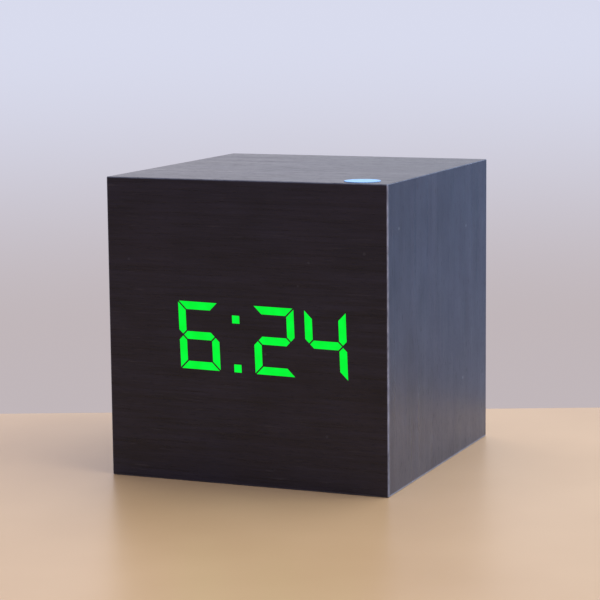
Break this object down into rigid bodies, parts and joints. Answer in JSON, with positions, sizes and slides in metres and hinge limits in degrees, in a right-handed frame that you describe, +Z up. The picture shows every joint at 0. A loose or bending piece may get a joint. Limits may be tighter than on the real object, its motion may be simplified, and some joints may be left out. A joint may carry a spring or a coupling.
{
  "type": "alarm clock",
  "caption": "Cube alarm clock in dark wood-grain film, its green digits lit through the front, with buttons and a power socket behind and a battery door beneath.",
  "frame": {"origin": "centre of the base, on the surface the clock stands on", "axes": "+Z up, -Y out of the display, +X to the right as the display is read"},
  "size_m": [0.061, 0.063, 0.0621],
  "materials": {
    "fibreboard": "raw medium-density fibreboard, matt",
    "wood_grain_film": "dark grey-black vinyl film with a fine wood grain, matt",
    "sticker": "pale blue paper label, matt",
    "softwood": "sawn softwood",
    "screw_steel": "zinc-plated steel",
    "white_plastic": "white moulded nylon",
    "diffuser": "milky epoxy",
    "led_chip": "clear resin over a small chip",
    "circuit_board": "green solder mask over glass fibre",
    "chip_body": "black moulded epoxy",
    "tin_plate": "tin-plated steel",
    "capacitor_sleeve": "shrunk dark blue sleeve",
    "black_plastic": "black moulded ABS, fine texture",
    "button_plastic": "black moulded ABS, smooth",
    "plunger_plastic": "dark grey nylon",
    "gold_plate": "gold-plated copper alloy",
    "epoxy_bead": "dipped epoxy",
    "aluminium_can": "drawn aluminium",
    "cell_jacket": "printed sleeve over a nickel-plated can",
    "red_insulation": "red PVC",
    "black_insulation": "black PVC",
    "grey_insulation": "grey PVC",
    "green_light": "film lit from behind in pure green"
  },
  "bodies": {
    "case": {"front_board": "fibreboard", "top_board": "fibreboard", "bottom_board": "fibreboard", "left_board": "fibreboard", "right_board": "fibreboard", "rear_board": "fibreboard", "front_film": "wood_grain_film", "sleeve_film": "wood_grain_film", "rear_film": "wood_grain_film", "top_sticker": "sticker", "corner_cleats": "softwood", "rear_screws": "screw_steel", "lit_segments": "green_light", "display_housing": "white_plastic", "segment_lenses": "diffuser", "display_leds": "led_chip", "display_board": "circuit_board", "display_spacers": "white_plastic", "display_screws": "screw_steel", "clock_chip": "chip_body", "board_resistors": "chip_body", "digit_drivers": "chip_body", "timing_crystal": "tin_plate", "smoothing_capacitor": "capacitor_sleeve", "buzzer": "black_plastic", "battery_header": "white_plastic", "ribbon_headers": "white_plastic", "control_plate": "black_plastic", "plate_screws": "screw_steel", "control_board": "circuit_board", "control_screws": "screw_steel", "switch_bodies": "black_plastic", "switch_covers": "tin_plate", "switch_domes": "gold_plate", "socket_shell": "tin_plate", "socket_tongue": "black_plastic", "socket_contacts": "gold_plate", "thermistor": "epoxy_bead", "microphone": "aluminium_can", "battery_tray": "black_plastic", "tray_battens": "softwood", "tray_screws": "screw_steel", "left_cell": "cell_jacket", "middle_cell": "cell_jacket", "right_cell": "cell_jacket", "positive_contact": "tin_plate", "negative_contact": "tin_plate", "front_link": "tin_plate", "rear_link": "tin_plate", "red_lead": "red_insulation", "black_lead": "black_insulation", "control_ribbon": "grey_insulation"},
    "door": {"battery_door": "black_plastic"},
    "set_key": {"set_button": "button_plastic", "set_plunger": "plunger_plastic"},
    "up_key": {"up_button": "button_plastic", "up_plunger": "plunger_plastic"},
    "down_key": {"down_button": "button_plastic", "down_plunger": "plunger_plastic"}
  },
  "joints": [
    {"name": "set_button_press", "type": "slide", "parent": "case", "child": "set_key", "axis": [0, -1, 0], "range_m": [0, 0.0005], "stiffness_N_per_m": 1500, "springref_m": -0.0004},
    {"name": "up_button_press", "type": "slide", "parent": "case", "child": "up_key", "axis": [0, -1, 0], "range_m": [0, 0.0005], "stiffness_N_per_m": 1500, "springref_m": -0.0004},
    {"name": "down_button_press", "type": "slide", "parent": "case", "child": "down_key", "axis": [0, -1, 0], "range_m": [0, 0.0005], "stiffness_N_per_m": 1500, "springref_m": -0.0004},
    {"name": "battery_door_hinge", "type": "hinge", "parent": "case", "child": "door", "pos_m": [0, -0.024, 0.0015], "axis": [-1, 0, 0], "range_deg": [0, 90]}
  ]
}
